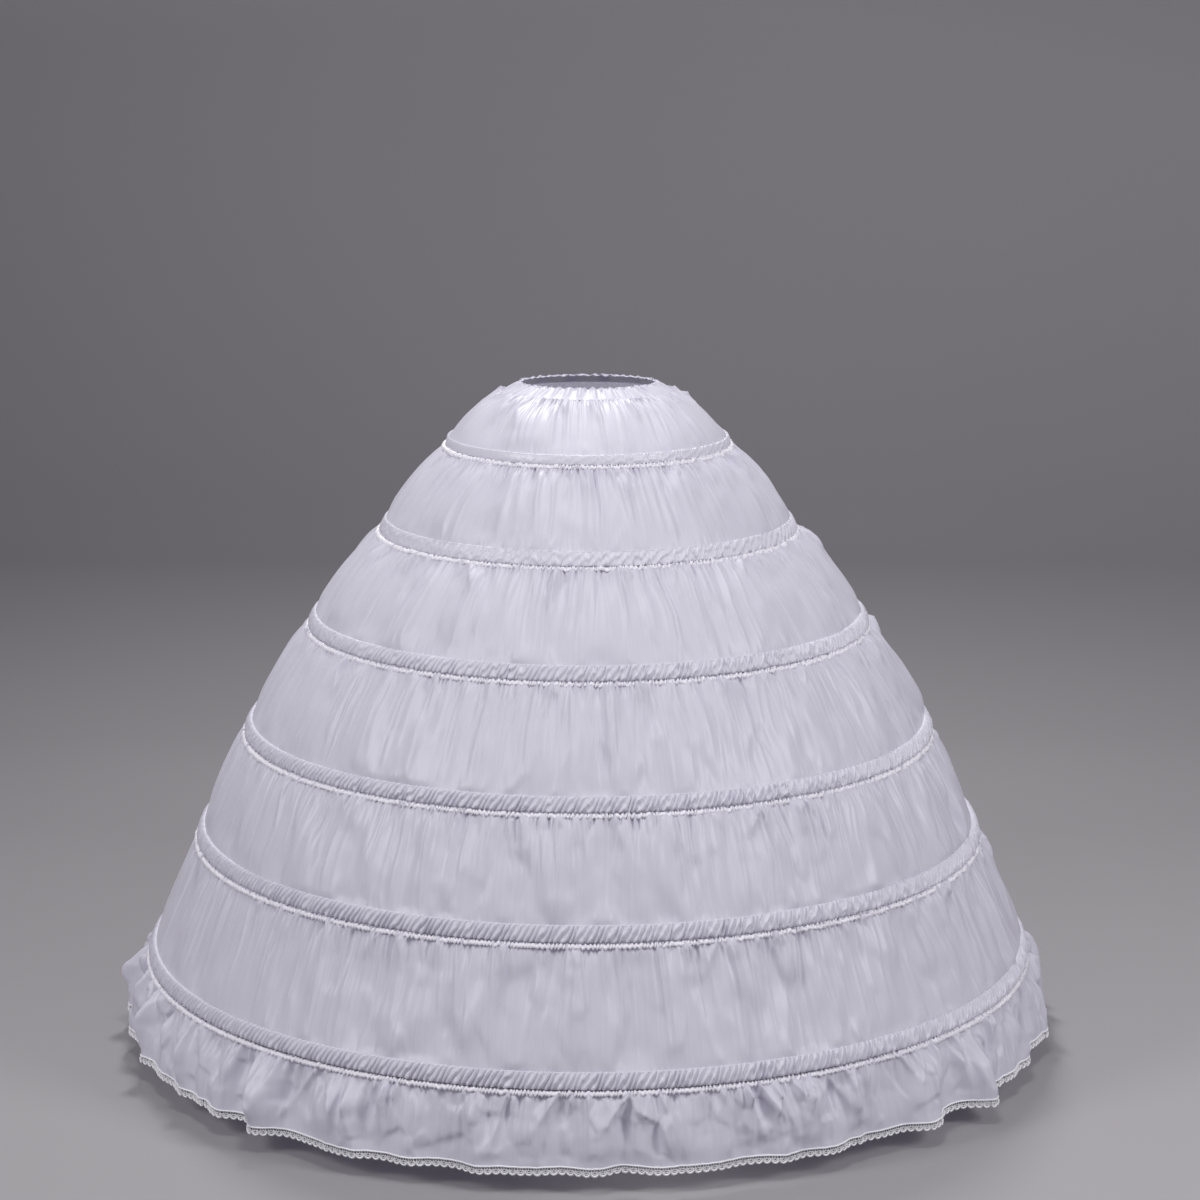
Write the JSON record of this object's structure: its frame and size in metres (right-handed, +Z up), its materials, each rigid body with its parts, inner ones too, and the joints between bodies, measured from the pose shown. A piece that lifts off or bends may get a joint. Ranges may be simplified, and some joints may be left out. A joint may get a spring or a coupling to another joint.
{
  "type": "hooped petticoat",
  "caption": "Floor-length white gathered petticoat held out in a wide bell by flat steel hoops in sewn channels, with an elastic waist and a lace-edged flounce.",
  "frame": {"origin": "middle of the waist opening, level with the top edge of the waist casing", "axes": "+Z up along the skirt's middle, -Y towards the front, +X to the viewer's right from the front"},
  "size_m": [1.56, 1.5534, 1.08],
  "materials": {
    "white_taffeta": "satin",
    "channel_cloth": "satin",
    "lace": "matte",
    "elastic": "matte",
    "coated_steel": "gloss",
    "joiner_steel": "satin"
  },
  "bodies": {
    "root": {"waist_casing": "channel_cloth", "waist_elastic": "elastic", "tier_1": "white_taffeta", "hoop_channel_1": "channel_cloth", "hoop_1": "coated_steel", "hoop_joiner_1": "joiner_steel", "tier_2": "white_taffeta", "hoop_channel_2": "channel_cloth", "hoop_2": "coated_steel", "hoop_joiner_2": "joiner_steel", "tier_3": "white_taffeta", "hoop_channel_3": "channel_cloth", "hoop_3": "coated_steel", "hoop_joiner_3": "joiner_steel", "tier_4": "white_taffeta", "hoop_channel_4": "channel_cloth", "hoop_4": "coated_steel", "hoop_joiner_4": "joiner_steel", "tier_5": "white_taffeta", "hoop_channel_5": "channel_cloth", "hoop_5": "coated_steel", "hoop_joiner_5": "joiner_steel", "tier_6": "white_taffeta", "hoop_channel_6": "channel_cloth", "hoop_6": "coated_steel", "hoop_joiner_6": "joiner_steel", "flounce": "white_taffeta", "hem_lace": "lace"}
  },
  "joints": []
}
